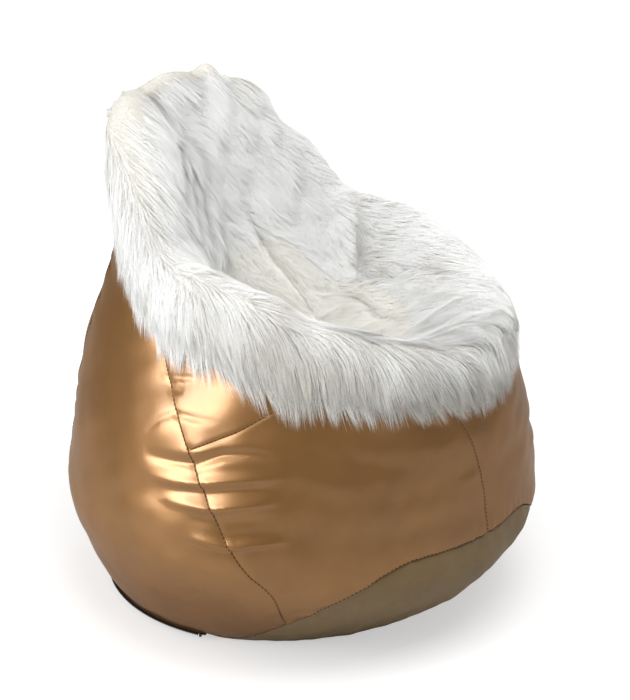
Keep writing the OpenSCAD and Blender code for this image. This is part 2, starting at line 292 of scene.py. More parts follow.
def make_floor():
    mesh = bpy.data.meshes.new("floor")
    corners = [(-FLOOR_REACH, -FLOOR_REACH), (FLOOR_REACH, -FLOOR_REACH),
               (FLOOR_REACH, FLOOR_REACH), (-FLOOR_REACH, FLOOR_REACH)]
    mesh.from_pydata([(x, y, FLOOR_DROP) for x, y in corners], [], [(0, 1, 2, 3)])
    floor = bpy.data.objects.new("floor", mesh)
    bpy.context.scene.collection.objects.link(floor)
    mesh.materials.append(floor_material())


def floor_material():
    """White studio floor that looks brighter than the light it passes on, more so away from the chair."""
    material, tree, shader = new_material("floor_white")
    seen = add_node(tree, "ShaderNodeLightPath").outputs["Is Camera Ray"]
    place = add_node(tree, "ShaderNodeTexCoord").outputs["Object"]
    away = add_node(tree, "ShaderNodeVectorMath", {0: place}, operation="LENGTH").outputs["Value"]
    glow = remap(tree, away, *FLOOR_GLOW_AT, *FLOOR_GLOW)
    both = add_node(tree, "ShaderNodeMath", {0: seen, 1: glow}, operation="MULTIPLY").outputs[0]
    tree.links.new(both, shader.inputs["Emission Strength"])
    shader.inputs["Emission Color"].default_value = (1, 1, 1, 1)
    set_values(shader, base=(0.62, 0.62, 0.62), roughness=0.9)
    return material


# ---- materials ----


def new_material(name):
    material = bpy.data.materials.new(name)
    material.use_nodes = True
    return material, material.node_tree, material.node_tree.nodes["Principled BSDF"]


def set_values(shader, **values):
    names = {"base": "Base Color", "sheen_roughness": "Sheen Roughness", "sheen": "Sheen Weight",
             "coat": "Coat Weight", "coat_roughness": "Coat Roughness", "coat_ior": "Coat IOR",
             "specular": "Specular IOR Level", "specular_tint": "Specular Tint"}
    for key, value in values.items():
        socket = shader.inputs[names.get(key, key.title())]
        socket.default_value = (*value, 1) if isinstance(value, tuple) else value


def hair_materials(name, tones):
    """Materials for single hairs, from the whitest to the greyest; the greyer ones also serve as painted
    shade.
    """
    materials = []
    for k, tone in enumerate(tones):
        material, _, shader = new_material(f"{name}_{k + 1}")
        set_values(shader, base=tone, roughness=0.6, specular=0.25)
        materials.append(material)
    return materials


def add_node(tree, kind, inputs=None, **settings):
    node = tree.nodes.new(kind)
    for key, value in settings.items():
        setattr(node, key, value)
    for key, value in (inputs or {}).items():
        if isinstance(value, bpy.types.NodeSocket):
            tree.links.new(value, node.inputs[key])
        else:
            node.inputs[key].default_value = value
    return node


def places(tree, stretch=(1, 1, 1)):
    """Coordinates in metres, fixed to the piece."""
    source = add_node(tree, "ShaderNodeTexCoord")
    mapped = add_node(tree, "ShaderNodeMapping", {"Vector": source.outputs["Object"], "Scale": stretch})
    return mapped.outputs["Vector"]


def noise(tree, at, size, detail=3.0, roughness=0.55):
    """Noise with patches of that size in metres."""
    made = add_node(tree, "ShaderNodeTexNoise",
                    {"Vector": at, "Scale": 1 / size, "Detail": detail, "Roughness": roughness})
    return made.outputs["Fac"]


def ramp(tree, value, low, high, colours):
    """Colour blend over a value between low and high."""
    node = add_node(tree, "ShaderNodeValToRGB", {"Fac": value})
    stops = node.color_ramp.elements
    while len(stops) < len(colours):
        stops.new(0.5)
    for i, colour in enumerate(colours):
        stops[i].position = lerp(low, high, i / (len(colours) - 1))
        stops[i].color = (*colour, 1)
    return node.outputs["Color"]


def remap(tree, value, low, high, to_low, to_high):
    node = add_node(tree, "ShaderNodeMapRange", {"Value": value, "From Min": low, "From Max": high,
                                                  "To Min": to_low, "To Max": to_high})
    return node.outputs["Result"]


def bump(tree, shader, heights):
    """Adds bumps, given as (value, depth in metres, strength), finest last."""
    normal = None
    for value, depth, strength in heights:
        inputs = {"Height": value, "Distance": depth, "Strength": strength}
        if normal is not None:
            inputs["Normal"] = normal
        normal = add_node(tree, "ShaderNodeBump", inputs).outputs["Normal"]
    tree.links.new(normal, shader.inputs["Normal"])


def leather_material():
    """Pearly gold imitation leather: fine pebble grain, cloudy tone and slightly uneven gloss."""
    material, tree, shader = new_material("gold_leather")
    at = places(tree)
    cells = add_node(tree, "ShaderNodeTexVoronoi", {"Vector": at, "Scale": 1 / 0.0016},
                     feature="SMOOTH_F1").outputs["Distance"]
    cloud = noise(tree, at, 0.09, 4.0)
    pores = noise(tree, at, 0.0011, 2.0)
    colour = ramp(tree, cloud, 0.3, 0.7, [(0.235, 0.100, 0.014), (0.30, 0.132, 0.022)])
    tree.links.new(colour, shader.inputs["Base Color"])
    tree.links.new(remap(tree, cloud, 0.3, 0.7, 0.35, 0.29), shader.inputs["Roughness"])
    dents = noise(tree, at, 0.02, 2.0)
    bump(tree, shader, [(dents, 0.0005, 0.3), (cells, 0.00022, 0.4), (pores, 0.0001, 0.35)])
    set_values(shader, metallic=0.66, coat=0.42, coat_roughness=0.28, coat_ior=2.2)
    set_values(shader, specular_tint=(0.85, 0.56, 0.30))
    return material


def thread_material():
    """Twisted polyester thread, a little darker than the leather."""
    material, tree, shader = new_material("brown_thread")
    twist = noise(tree, places(tree), 0.0009, 2.0)
    colour = ramp(tree, twist, 0.3, 0.7, [(0.035, 0.016, 0.008), (0.06, 0.028, 0.013)])
    tree.links.new(colour, shader.inputs["Base Color"])
    bump(tree, shader, [(twist, 0.0002, 0.5)])
    set_values(shader, roughness=0.55)
    return material


def base_material():
    """Olive coated base cloth: tight plain weave under a dull coat."""
    material, tree, shader = new_material("olive_base_cloth")
    at = places(tree)
    weave = woven(tree, 0.0011)
    cloud = noise(tree, at, 0.06, 4.0)
    colour = ramp(tree, cloud, 0.3, 0.7, [(0.19, 0.122, 0.05), (0.235, 0.152, 0.063)])
    tree.links.new(colour, shader.inputs["Base Color"])
    bump(tree, shader, [(noise(tree, at, 0.018, 2.0), 0.0006, 0.3), (weave, 0.0002, 0.5)])
    set_values(shader, roughness=0.5, metallic=0.25, coat=0.08, coat_roughness=0.4)
    return material


def woven(tree, pitch):
    """Height of a plain weave: threads along the piece's height crossing threads round it."""
    source = add_node(tree, "ShaderNodeTexCoord").outputs["Object"]
    parts = add_node(tree, "ShaderNodeSeparateXYZ", {"Vector": source}).outputs
    across = add_node(tree, "ShaderNodeMath", {0: parts["X"], 1: parts["Y"]}, operation="ADD").outputs[0]
    threads = []
    for line in (across, parts["Z"]):
        turned = add_node(tree, "ShaderNodeMath", {0: line, 1: math.pi / pitch}, operation="MULTIPLY")
        threads.append(add_node(tree, "ShaderNodeMath", {0: turned.outputs[0]}, operation="SINE").outputs[0])
    both = add_node(tree, "ShaderNodeMath", {0: threads[0], 1: threads[1]}, operation="MULTIPLY")
    return both.outputs[0]


def cloth_material(name, dark, light, pitch=0.0008, **values):
    """Woven cloth in two near tones."""
    material, tree, shader = new_material(name)
    at = places(tree)
    tone = noise(tree, at, 0.03, 4.0)
    tree.links.new(ramp(tree, tone, 0.3, 0.7, [dark, light]), shader.inputs["Base Color"])
    bump(tree, shader, [(woven(tree, pitch), 0.0002, 0.6)])
    set_values(shader, roughness=0.85, **values)
    return material


def metal_material(name, dark, light):
    """Cast metal with fine scratches and duller patches."""
    material, tree, shader = new_material(name)
    scratches = noise(tree, places(tree, (1, 1, 12)), 0.0012, 3.0)
    tree.links.new(ramp(tree, scratches, 0.3, 0.7, [dark, light]), shader.inputs["Base Color"])
    tree.links.new(remap(tree, scratches, 0.3, 0.7, 0.42, 0.26), shader.inputs["Roughness"])
    bump(tree, shader, [(scratches, 0.00005, 0.4)])
    set_values(shader, metallic=1.0)
    return material


def underfur_material(name, dark, light):
    """Short dense undercoat between the long hairs."""
    material, tree, shader = new_material(name)
    at = places(tree)
    wool = noise(tree, at, 0.004, 4.0, 0.7)
    tree.links.new(ramp(tree, wool, 0.3, 0.7, [dark, light]), shader.inputs["Base Color"])
    bump(tree, shader, [(wool, 0.003, 0.8)])
    set_values(shader, roughness=0.9, sheen=0.3, sheen_roughness=0.5)
    return material


# ---- mesh helpers ----


def add_piece(mesh):
    """Object of that mesh, with the mesh's own name, as a piece of the bag."""
    piece = bpy.data.objects.new(mesh.name, mesh)
    bpy.context.scene.collection.objects.link(piece)
    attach(piece, BAG)
    return piece


def add_mesh(name, points, faces, material, smooth=True):
    mesh = bpy.data.meshes.new(name)
    mesh.from_pydata(np.asarray(points).reshape(-1, 3).tolist(), [], faces)
    mesh.materials.append(material)
    mesh.validate()
    if smooth:
        mesh.shade_smooth()
    return add_piece(mesh)


def grid_faces(rows, cols, at=0, wrap=False, turned=False):
    i = np.arange(rows - 1)[:, None]
    j = np.arange(cols if wrap else cols - 1)[None, :]
    k = (j + 1) % cols
    a, b = at + i * cols + j, at + i * cols + k
    quads = np.stack([a, b, b + cols, a + cols], -1).reshape(-1, 4)
    return quads[:, ::-1] if turned else quads


def shell(name, outer, inner, material, wrap=False):
    """Closed thin shell between two grids of points, rows upwards and columns round the body."""
    rows, cols = outer.shape[:2]
    n = rows * cols
    lines = [np.arange(cols), np.arange(cols)[::-1] + n - cols]
    if wrap:
        lines = [np.append(line, line[0]) for line in lines]
    else:
        lines += [np.arange(rows)[::-1] * cols, np.arange(rows) * cols + cols - 1]
    strips = [np.stack([line[:-1] + n, line[1:] + n, line[1:], line[:-1]], -1) for line in lines]
    faces = np.concatenate([grid_faces(rows, cols, 0, wrap), grid_faces(rows, cols, n, wrap, True), *strips])
    points = np.concatenate([outer.reshape(-1, 3), inner.reshape(-1, 3)])
    return add_mesh(name, points, faces.tolist(), material)


def foot_disc(first_ring, height, rings=16, inmost=0.03):
    """Flat rings that close a ring of points towards the middle of the floor."""
    share = np.linspace(inmost, 1, rings, endpoint=False)[:, None, None]
    flat = np.array([*FLOOR_CENTRE, height])
    return flat + (first_ring * [1, 1, 0] + [0, 0, height] - flat) * share


# ---- leather wall and base ----

LEATHER_T = 0.0014
SEAM_DIP = 0.0007
SEAM_WIDTH = 0.0010
SEAM_HOLLOW = 0.0006
SEAM_HOLLOW_WIDTH = 0.0080
REAR_SEAM_SHARE = 1.5
REAR_SIDES = {"back_panel": (1, 1), "left_side_panel": (1, 0), "right_side_panel": (0, 1)}
LOBE_LENGTH = 0.046
LOBE_DEPTH = 0.0070
LOBE_REACH = 0.036
PUCKER_PITCH = 0.03
PUCKER_REACH = 0.02
PUCKER_HEIGHT = 0.0008
PANEL_ROWS = 200
PANELS = {
    "back_panel": (back_seam, lambda t: 360 - back_seam(t), 216),
    "left_side_panel": (lambda t: -back_seam(t), lambda t: -side_seam(t), 168),
    "left_gusset": (lambda t: -side_seam(t), lambda t: -gusset_seam(t), 130),
    "front_left_panel": (lambda t: -front_of_side(t), front_seam, 128),
    "front_right_panel": (front_seam, front_of_side, 116),
    "right_gusset": (gusset_seam, side_seam, 130),
    "right_side_panel": (side_seam, back_seam, 168),
}
# each fold: its (phi, u) places, its width, its height, and its width below the line where that differs
LEATHER_FOLDS = [
    ([(-85, 1.363), (-77, 1.371), (-71, 1.381), (-64, 1.420), (-58, 1.436), (-51, 1.441)], 0.0085, -0.0046),
    ([(-84, 1.300), (-75, 1.312), (-69, 1.324), (-62.5, 1.345), (-50, 1.380)], 0.0140, 0.0056, 0.0045),
    ([(-78, 1.284), (-67.5, 1.304), (-59, 1.331), (-49.5, 1.350)], 0.0060, -0.0014),
    ([(-78, 1.247), (-68.5, 1.251), (-65, 1.257), (-60, 1.275), (-51, 1.308)], 0.0135, 0.0054, 0.0040),
    ([(-71, 1.214), (-64.5, 1.219), (-58.5, 1.240), (-51.5, 1.260)], 0.0090, -0.0014),
    ([(-71, 1.142), (-62, 1.137), (-59, 1.142), (-56, 1.158), (-49, 1.182)], 0.0130, 0.0050, 0.0035),
    ([(-87.5, 1.425), (-84, 1.464), (-80, 1.490), (-74.5, 1.495), (-67, 1.498)], 0.0060, -0.0016, 0.0035),
    ([(-87, 1.574), (-75, 1.600)], 0.0065, 0.0020, 0.0030),
    ([(-83.5, 1.550), (-79, 1.557)], 0.0045, -0.0014),
    ([(-88, 1.614), (-78, 1.633)], 0.0050, -0.0012),
    ([(-4, 1.33), (1, 1.335)], 0.014, 0.003),
    ([(-40, 1.50), (-30, 1.44), (-22, 1.43)], 0.018, -0.002),
    ([(-44, 1.40), (-34, 1.36)], 0.020, 0.002),
    ([(14, 1.60), (30, 1.55)], 0.020, -0.002),
    ([(-20, 1.62), (-6, 1.50)], 0.020, -0.002),
    ([(30, 1.35), (44, 1.33), (56, 1.36)], 0.016, 0.003, 0.005),
    ([(34, 1.24), (50, 1.22)], 0.018, 0.003, 0.006),
]


def panel_places(name):
    """Grids of phi and u over a wall panel, from seam to seam, and of t up the wall."""
    left, right, cols = PANELS[name]
    t = np.linspace(0, 1, PANEL_ROWS + 1)
    if "gusset" in name:
        t = t[t > FORK - 1e-6]
    t = t[:, None]
    phi = lerp(left(t), right(t), finer_ends(cols + 1)[None, :])
    return phi, lerp(base_seam(phi), fur_seam(phi), t), t + 0 * phi


def finer_ends(count):
    """Shares from 0 to 1, closer together towards both ends, where the seams are."""
    x = np.linspace(0, 1, count)
    return lerp(x, 0.5 - 0.5 * np.cos(math.pi * x), 0.75)


def run_lengths(points, axis):
    """Distance along the grid lines from their first point and to their last."""
    steps = np.linalg.norm(np.diff(points, axis=axis), axis=-1)
    pad = [(0, 0), (0, 0)]
    pad[axis] = (1, 0)
    run = np.cumsum(np.pad(steps, pad), axis=axis)
    return run, np.take(run, [-1], axis=axis) - run


def puckers(along, distance):
    """Small folds that run up from the base seam and die out with distance."""
    phase = np.random.default_rng(8).uniform(0, 6.28, 3)
    k = 2 * math.pi / PUCKER_PITCH
    ripple = np.sin(along * k + phase[0]) + 0.6 * np.sin(along * k * 1.63 + phase[1])
    strength = 0.6 + 0.4 * np.sin(along * k * 0.23 + phase[2])
    return PUCKER_HEIGHT * ripple * strength * np.exp(-((distance / PUCKER_REACH) ** 2))


def scallops(along, distance):
    """Lobes of leather between the gathers of a rear seam, drawn in where each gather is."""
    place = along / LOBE_LENGTH + 0.45 * np.sin(along * 19) + 0.25 * np.sin(along * 47 + 1)
    lobe = np.abs(np.sin(math.pi * place)) ** 0.75
    depth = LOBE_DEPTH * (0.65 + 0.35 * np.sin(along * 31 + 2)) * ease((along - 0.08) / 0.1)
    return depth * (lobe - 0.6) * np.exp(-((distance / LOBE_REACH) ** 1.3))


def seam_dip(distance):
    """Narrow groove at a seam, with a soft hollow beside it."""
    groove = SEAM_DIP * np.exp(-((distance / SEAM_WIDTH) ** 2))
    return groove + SEAM_HOLLOW * np.exp(-((distance / SEAM_HOLLOW_WIDTH) ** 2))


def wall_relief(name, base, t):
    """How far the wall stands out of or dips below the plain surface, from its seams, puckers and folds."""
    low, high = run_lengths(base, 0)
    relief = np.zeros(t.shape)
    for distance, rear in zip(run_lengths(base, 1), REAR_SIDES.get(name, (0, 0))):
        relief -= seam_dip(distance) * (REAR_SEAM_SHARE if rear else 1)
        if rear:
            relief += scallops(low, distance)
    relief -= seam_dip(low) + seam_dip(high)
    relief += puckers(base[..., 0] + base[..., 1], low)
    relief += 0.0012 * waves(base, 0.16, 21) + 0.0003 * waves(base, 0.055, 22)
    return relief + creases(base, LEATHER_FOLDS)


SETTLE_COLS = 360
SETTLE_ROWS = 92
SETTLE_FRAMES = 26
SPARE_HEIGHT = 1.05
SPARE_GIRTH = 1.012
SEAM_HOLD = 0.007
FIRST_RIPPLE = 0.0012
RIPPLE_LENGTH = 0.17
MOST_IN = -0.0025
MOST_OUT = 0.0035
CLOTH_SETTINGS = {
    "quality": 5, "mass": 0.25, "tension_stiffness": 10, "compression_stiffness": 10, "shear_stiffness": 8,
    "bending_stiffness": 0.05, "tension_damping": 5, "compression_damping": 5, "air_damping": 1,
    "use_pressure": True, "uniform_pressure_force": 4.0, "vertex_group_mass": "held", "pin_stiffness": 1.0,
}


def seam_lines():
    """Every upright seam as a function of t, and the t it starts from."""
    pairs = [(side_seam, 0), (gusset_seam, FORK), (back_seam, 0)]
    mirrored = [(lambda t, seam=seam: -seam(t), lowest) for seam, lowest in pairs]
    return pairs + mirrored + [(front_seam, 0)]


def settled_wall():
    """Cloth simulation of the whole wall, sewn down along its seams and slightly too large for the filling.

    Gives how far each place moves outwards, on a grid of t by phi."""
    phi = np.linspace(-180, 180, SETTLE_COLS, endpoint=False)[None, :]
    t = np.linspace(0, 1, SETTLE_ROWS)[:, None]
    u = lerp(base_seam(phi), fur_seam(phi), t)
    phi, t = phi + 0 * t, t + 0 * phi
    start = on_skin(phi, u)
    out = axes(on_skin, phi, u)[2]
    ripple = FIRST_RIPPLE * np.sqrt(np.sin(math.pi * t)) * waves(start * [1, 1, 3.2], RIPPLE_LENGTH, 91)
    start = start + out * ripple[..., None]
    cloth, rest = wall_cloth(start, held_places(phi, t, start))
    moved = simulate(cloth, rest).reshape(start.shape) - start
    mesh = cloth.data
    bpy.data.objects.remove(cloth)
    bpy.data.meshes.remove(mesh)
    return smoothed(np.clip((moved * out).sum(-1), MOST_IN, MOST_OUT) + ripple)


def held_places(phi, t, points):
    """How firmly each place of the wall is held: 1 at its edges and on its seams, 0 away from them."""
    held = np.zeros(t.shape)
    for seam, lowest in seam_lines():
        apart = (phi - seam(t) + 180) % 360 - 180
        metres = np.abs(np.radians(apart)) * np.hypot(points[..., 0], points[..., 1])
        held = np.maximum(held, np.where(t >= lowest, np.exp(-((metres / SEAM_HOLD) ** 2)), 0))
    held[[0, -1]] = 1
    return held


def wall_cloth(start, held):
    """Welded cloth at its starting points, and the shape key that says how large it is cut."""
    mesh = bpy.data.meshes.new("wall_cloth")
    faces = grid_faces(SETTLE_ROWS, SETTLE_COLS, 0, True).tolist()
    mesh.from_pydata(start.reshape(-1, 3).tolist(), [], faces)
    cloth = bpy.data.objects.new("wall_cloth", mesh)
    bpy.context.scene.collection.objects.link(cloth)
    group = cloth.vertex_groups.new(name="held")
    for i, weight in enumerate(held.ravel()):
        group.add([i], float(weight), "REPLACE")
    cloth.shape_key_add(name="Basis")
    rest = cloth.shape_key_add(name="cut")
    spare = start * [SPARE_GIRTH, SPARE_GIRTH, SPARE_HEIGHT]
    rest.data.foreach_set("co", spare.astype(np.float32).ravel())
    return cloth, rest


def smoothed(field, turns=2):
    """Field on a grid that closes round the body, averaged with its neighbours."""
    for _ in range(turns):
        field = (2 * field + np.roll(field, 1, 1) + np.roll(field, -1, 1)) / 4
        field[1:-1] = (2 * field[1:-1] + field[2:] + field[:-2]) / 4
    return field


def simulate(cloth, rest):
    """Runs the cloth under pressure from the filling and gives its settled points."""
    scene = bpy.context.scene
    modifier = cloth.modifiers.new("cloth", "CLOTH")
    settings = modifier.settings
    for key, value in CLOTH_SETTINGS.items():
        setattr(settings, key, value)
    settings.rest_shape_key = rest
    settings.effector_weights.gravity = 0
    modifier.point_cache.frame_start = 1
    modifier.point_cache.frame_end = SETTLE_FRAMES
    for step in range(1, SETTLE_FRAMES + 1):
        scene.frame_set(step)
    shown = cloth.evaluated_get(bpy.context.evaluated_depsgraph_get())
    points = np.empty(len(shown.data.vertices) * 3, np.float32)
    shown.data.vertices.foreach_get("co", points)
    scene.frame_set(1)
    return points.reshape(-1, 3).astype(float)


def settled_at(settled, phi, t):
    """Looks up the simulated wall at places of phi and t."""
    x = ((phi + 180) % 360) / 360 * SETTLE_COLS
    y = np.clip(t, 0, 1) * (SETTLE_ROWS - 1)
    i = np.minimum(y.astype(int), SETTLE_ROWS - 2)
    j = x.astype(int) % SETTLE_COLS
    k = (j + 1) % SETTLE_COLS
    a, b = x - np.floor(x), y - i
    return lerp(lerp(settled[i, j], settled[i, k], a), lerp(settled[i + 1, j], settled[i + 1, k], a), b)


def make_wall(leather):
    lines = []
    settled = settled_wall()
    for name in PANELS:
        phi, u, t = panel_places(name)
        base = on_skin(phi, u)
        out = axes(on_skin, phi, u)[2]
        relief = wall_relief(name, base, t) + settled_at(settled, phi, t)
        outer = base + out * relief[..., None]
        piece = shell(name + "_cover", outer, outer - out * LEATHER_T, leather)
        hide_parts(name)
        lines += panel_stitches(name, outer, out)
    make_stitches("wall_stitches", lines, thread_material())


def make_base(cloth):
    rows, cols = 70, 480
    phi = np.linspace(0, 360, cols, endpoint=False)[None, :]
    k = np.linspace(0, 1, rows)[:, None]
    u = k * base_seam(phi)
    phi = phi + 0 * u
    base = on_skin(phi, u)
    out = axes(on_skin, phi, u)[2]
    low, high = run_lengths(base, 0)
    relief = -seam_dip(high)
    relief += (0.0018 * waves(base, 0.12, 31) + 0.0008 * waves(base, 0.04, 32)) * ease(low / 0.03)
    outer = base + out * relief[..., None]
    foot = foot_disc(base[:1], 0.0, 24, 0.02)
    inner = np.concatenate([foot + [0, 0, LEATHER_T], outer - out * LEATHER_T])
    piece = shell("base_panel_cloth", np.concatenate([foot, outer]), inner, cloth, wrap=True)
    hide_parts("base_panel")


# ---- stitches ----

THREAD_T = 0.0016
STITCH_PITCH = 0.0076
STITCH_LENGTH = 0.0038
STITCH_GAP = 0.0016
STITCHED_SIDES = {
    "back_panel": (1, 1), "left_side_panel": (0, 1), "left_gusset": (0, 1), "front_left_panel": (0, 0),
    "front_right_panel": (1, 0), "right_gusset": (1, 0), "right_side_panel": (1, 0),
}


def stitch_line(outer, out, distance, gap):
    """Line over a panel at that gap from an edge, with its outward directions."""
    at_gap = lambda values: np.array([[np.interp(gap, d, v[:, k]) for k in range(3)]
                                      for d, v in zip(distance, values)])
    return at_gap(outer), unit(at_gap(out))


def stitch_row(line, out, first):
    """Points and faces of a row of short raised stitches along a line; the faces count from first."""
    run = np.append(0, np.cumsum(np.linalg.norm(np.diff(line, axis=0), axis=1)))
    mid = np.arange(STITCH_PITCH, run[-1] - STITCH_PITCH, STITCH_PITCH)
    at = lambda place, values: np.stack([np.interp(place, run, values[:, k]) for k in range(3)], -1)
    ends = [at(mid + s * STITCH_LENGTH / 2, line) for s in (-1, 1)]
    n = unit(at(mid, out)) * THREAD_T
    half = (ends[1] - ends[0]) / 2
    w = unit(np.cross(n, half)) * THREAD_T / 2
    centre = (ends[0] + ends[1]) / 2
    ring = [s * half * 0.75 + v for s in (1, -1) for v in (w, n * 0.7, -w)]
    corners = [centre + v for v in ring] + [centre + s * half - n * 0.3 for s in (1, -1)]
    start = first + 8 * np.arange(len(mid))[:, None]
    pattern = [(0, 1, 4, 3), (1, 2, 5, 4), (2, 0, 3, 5), (0, 6, 1), (1, 6, 2), (2, 6, 0),
               (3, 4, 7), (4, 5, 7), (5, 3, 7)]
    faces = [row for face in pattern for row in (start + np.array(face)).tolist()]
    return np.stack(corners, 1).reshape(-1, 3), faces


def make_stitches(name, lines, material):
    points, faces = [], []
    for line, out in lines:
        more, loops = stitch_row(line, out, sum(len(p) for p in points))
        points.append(more)
        faces += loops
    add_mesh(name, np.concatenate(points), faces, material)


def panel_stitches(name, outer, out):
    """Stitch lines just inside a panel's side seams and above the base seam."""
    left, right = run_lengths(outer, 1)
    lines = []
    if STITCHED_SIDES[name][0]:
        lines.append(stitch_line(outer, out, left, STITCH_GAP))
    if STITCHED_SIDES[name][1]:
        lines.append(stitch_line(outer[:, ::-1], out[:, ::-1], right[:, ::-1], STITCH_GAP))
    if "gusset" not in name:
        low = run_lengths(outer, 0)[0]
        turn = lambda a: np.swapaxes(a, 0, 1)
        lines.append(stitch_line(turn(outer), turn(out), low.T, STITCH_GAP))
    return lines


# ---- fur ----

# ridges and valleys in the fur, given like the leather's
FUR_FOLDS = [
    ([(116, 1.965), (112, 2.187), (107, 2.362), (100, 2.568)], 0.0105, -0.024),
    ([(172, 2.498), (172, 2.568), (166, 2.670), (144, 2.772), (122, 2.869)], 0.0110, -0.020),
    ([(-112, 2.168), (-116, 2.412), (-136, 2.694), (-173, 2.814), (-234, 2.900)], 0.0125, -0.026),
    ([(92, 2.620), (73, 2.500), (62, 2.312), (50, 2.25)], 0.012, -0.012),
    ([(143, 2.725), (114, 2.694), (86, 2.694), (50, 2.720), (36, 2.649)], 0.010, -0.009),
    ([(-164, 2.155), (-168, 2.240), (-171, 2.300)], 0.010, -0.012),
    ([(-163, 2.508), (-173, 2.537)], 0.010, -0.009),
    ([(-123, 2.074), (-124, 2.215)], 0.010, -0.009),
]
FUR_PUFFS = [
    ([(168, 1.990), (168, 2.020)], 0.020, 0.026),
    ([(190, 1.980), (180, 2.000), (172, 1.995)], 0.026, 0.014),
    ([(158, 1.990), (153, 2.000)], 0.026, 0.026),
    ([(143, 2.010), (133, 2.010), (124, 2.010)], 0.030, 0.022),
    ([(238, 2.120), (222, 2.250), (205, 2.350)], 0.050, 0.016),
    ([(200, 1.950), (214, 1.930), (230, 1.930), (246, 1.940)], 0.048, 0.026),
]
# hair colours from white to grey: the fur's own tone, with the greyer ones also used as painted shade
FUR_TONES_AND_SHADES = [
    (0.93, 0.93, 0.92), (0.87, 0.87, 0.85), (0.78, 0.77, 0.74), (0.66, 0.64, 0.59), (0.52, 0.50, 0.45),
]
SEAT_TONES_AND_SHADES = [
    (0.92, 0.91, 0.86), (0.88, 0.86, 0.79), (0.80, 0.77, 0.69), (0.70, 0.66, 0.57), (0.56, 0.52, 0.43),
]
ROOT_RISE = 0.010
STRANDS_PER_M2 = 300000
STRANDS_PER_PIECE = 38000
LOCKS_PER_M2 = 12000
HAIR_WIDTH = 0.00052
HAIR_STEPS = (0.0, 0.3, 0.65, 1.0)
FUR_HUG = 0.6
HAIR_DROOP = 0.05
COMBED_ON_TOP = np.array([0.71, -0.70, -0.30])
COMBED_ON_BACK = np.array([0.50, -0.50, -0.75])


def fur_root(phi, u):
    """Surface that the hairs grow from."""
    edge = ease((u - fur_seam(phi)) / 0.1)
    thin = ease((u - 2.3) / 0.4)
    depth = lerp(0.001, lerp(ROOT_RISE, ROOT_RISE * 0.5, thin), edge)
    base = skin(phi, u, depth)
    behind = ease((-cosine(phi) - 0.1) / 0.4) * ease((u - 1.95) / 0.2) * (1 - thin)
    lumps = (0.0035 * waves(base, 0.12, 41) + lerp(0.0012, 0.0030, behind) * waves(base, 0.055, 43)) * edge
    relief = creases(base, FUR_FOLDS) + creases(base, FUR_PUFFS) + lumps
    return base + axes(on_skin, phi, u)[2] * relief[..., None]


def combing(phi, u, side, rise):
    """Direction in which the hairs lie: down and round outside, one way across the top and the seat."""
    outside = 0.5 * side - rise
    behind = ease((-cosine(phi) - 0.2) / 0.4)[:, None] * ease((u - 2.1) / 0.3)[:, None]
    across = lerp(COMBED_ON_TOP, COMBED_ON_BACK, behind)
    across = side * (across * side).sum(-1, keepdims=True) + rise * (across * rise).sum(-1, keepdims=True)
    blend = lerp(unit(outside), unit(across), ease((u - 1.80) / 0.28)[:, None])
    return unit(blend), 1 - np.clip(np.linalg.norm(blend, axis=-1) / 0.7, 0, 1)


def scatter(phi_range, u_range, density, draw):
    """Random (phi, u) places over a stretch of the body, the same number on each square metre."""
    cells_phi, cells_u = 90, 60
    phi = np.linspace(*phi_range, cells_phi + 1)
    place = lambda p, k: lerp(u_range[0](p), u_range[1](p), k)
    k = np.linspace(0, 1, cells_u + 1)
    grid = on_skin(phi[:, None], place(phi[:, None], k[None, :]))
    a = grid[1:, :-1] - grid[:-1, :-1]
    b = grid[:-1, 1:] - grid[:-1, :-1]
    area = np.linalg.norm(np.cross(a, b), axis=-1).ravel()
    count = int(area.sum() * density)
    cell = draw.choice(len(area), count, p=area / area.sum())
    p = lerp(*phi_range, (cell // cells_u + draw.random(count)) / cells_phi)
    share = (cell % cells_u + draw.random(count)) / cells_u
    return p, place(p, share)


def comb(phi, u, draw, jitter):
    """Hairs at those places: their roots, how they are combed and how far each stands up."""
    root = fur_root(phi, u)
    side, rise, out = axes(fur_root, phi, u)
    combed, standing = combing(phi, u, side, rise)
    swirl = 0.22 * waves(root, 0.15, 51) + 0.12 * waves(root, 0.05, 52) + jitter * draw.normal(size=len(phi))
    angle = np.arctan2((combed * rise).sum(-1), (combed * side).sum(-1)) + swirl
    combed = side * np.cos(angle)[:, None] + rise * np.sin(angle)[:, None]
    return SimpleNamespace(phi=phi, u=u, root=root, side=side, rise=rise, out=out, combed=combed,
                           standing=standing)


def lift_angles(hair, draw, spread):
    """Angles at which hairs leave their roots: flat over the leather, higher on the rim."""
    edge = ease((hair.u - fur_seam(hair.phi)) / 0.2)
    plain = lerp(lerp(10, 22, edge), 55, hair.standing)
    return np.radians(plain + draw.normal(0, spread, len(hair.phi)))


